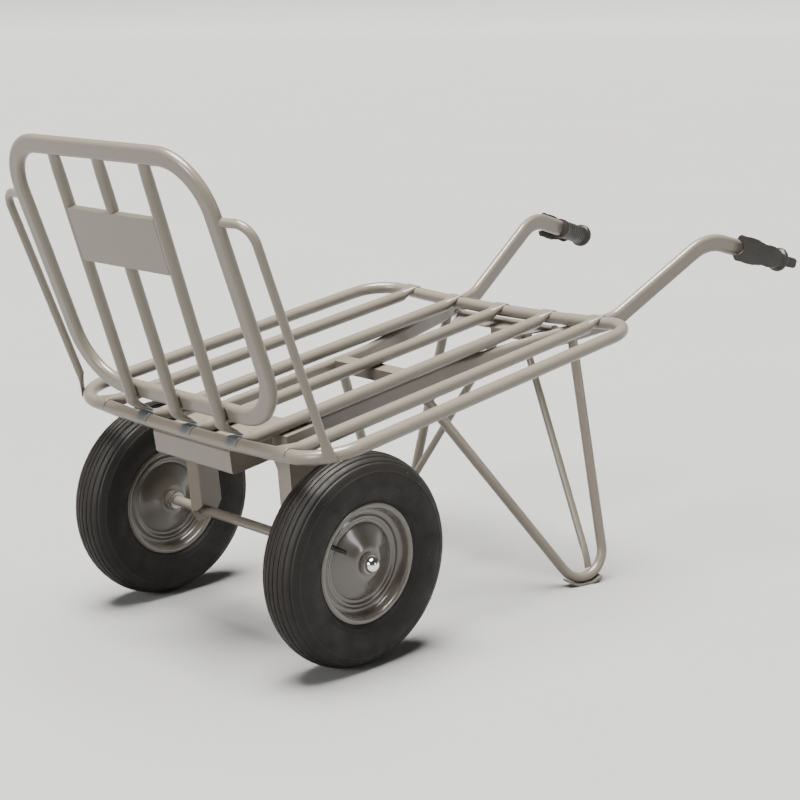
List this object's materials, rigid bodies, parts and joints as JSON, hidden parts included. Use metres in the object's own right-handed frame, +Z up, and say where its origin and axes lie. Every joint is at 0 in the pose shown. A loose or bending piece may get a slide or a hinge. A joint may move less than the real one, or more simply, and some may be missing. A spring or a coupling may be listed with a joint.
{
  "type": "game cart",
  "caption": "Two-wheeled tubular steel game cart: slatted bed, sloping slatted headboard, pneumatic wheels, V-shaped rear legs and raised handles with moulded grips.",
  "frame": {"origin": "centre of the cart's bounding box at ground level", "axes": "+X from the headboard towards the handles, +Z up, +Y to the right of a person at the handles who faces the headboard (the side the nodes call right)"},
  "size_m": [1.6764, 0.776, 0.9567],
  "materials": {
    "frame_paint": "semi-gloss pebble-grey powder coat",
    "rim_paint": "semi-gloss warm grey paint",
    "tyre": "matt ribbed rubber",
    "rubber": "matt rubber",
    "grip_plastic": "moulded satin black",
    "bearing_plastic": "moulded grey nylon",
    "chrome": "polished",
    "zinc": "zinc plated"
  },
  "bodies": {
    "frame": {"axle": "frame_paint", "axle_bracket_left": "frame_paint", "axle_bracket_right": "frame_paint", "axle_cap_left": "chrome", "axle_cap_right": "chrome", "bed_bar_1": "frame_paint", "bed_bar_2": "frame_paint", "bed_bar_3": "frame_paint", "bed_bar_4": "frame_paint", "bed_bar_5": "frame_paint", "bed_rail": "frame_paint", "box_beam": "frame_paint", "brace_left": "frame_paint", "brace_right": "frame_paint", "end_plate": "frame_paint", "end_plate_bolts": "zinc", "foot_left": "frame_paint", "foot_right": "frame_paint", "grip_left": "grip_plastic", "grip_right": "grip_plastic", "handle_left": "frame_paint", "handle_right": "frame_paint", "headboard_loop": "frame_paint", "headboard_upright_left": "frame_paint", "headboard_upright_middle_lower": "frame_paint", "headboard_upright_middle_upper": "frame_paint", "headboard_upright_right": "frame_paint", "leg_left": "frame_paint", "leg_right": "frame_paint", "mid_strap": "frame_paint", "name_plate": "frame_paint", "side_stay_left": "frame_paint", "side_stay_right": "frame_paint", "wheel_washers_left": "zinc", "wheel_washers_right": "zinc"},
    "wheel_left": {"hub_bearings_left": "bearing_plastic", "hub_left": "rim_paint", "inner_tube_left": "rubber", "rim_left": "rim_paint", "tyre_left": "tyre", "valve_stem_left": "rubber"},
    "wheel_right": {"hub_bearings_right": "bearing_plastic", "hub_right": "rim_paint", "inner_tube_right": "rubber", "rim_right": "rim_paint", "tyre_right": "tyre", "valve_stem_right": "rubber"}
  },
  "joints": [
    {"name": "wheel_left_spin", "type": "hinge", "parent": "frame", "child": "wheel_left", "pos_m": [-0.49098, -0.28975, 0.2], "axis": [0, 1, 0], "continuous": true},
    {"name": "wheel_right_spin", "type": "hinge", "parent": "frame", "child": "wheel_right", "pos_m": [-0.49098, 0.28975, 0.2], "axis": [0, 1, 0], "continuous": true}
  ]
}
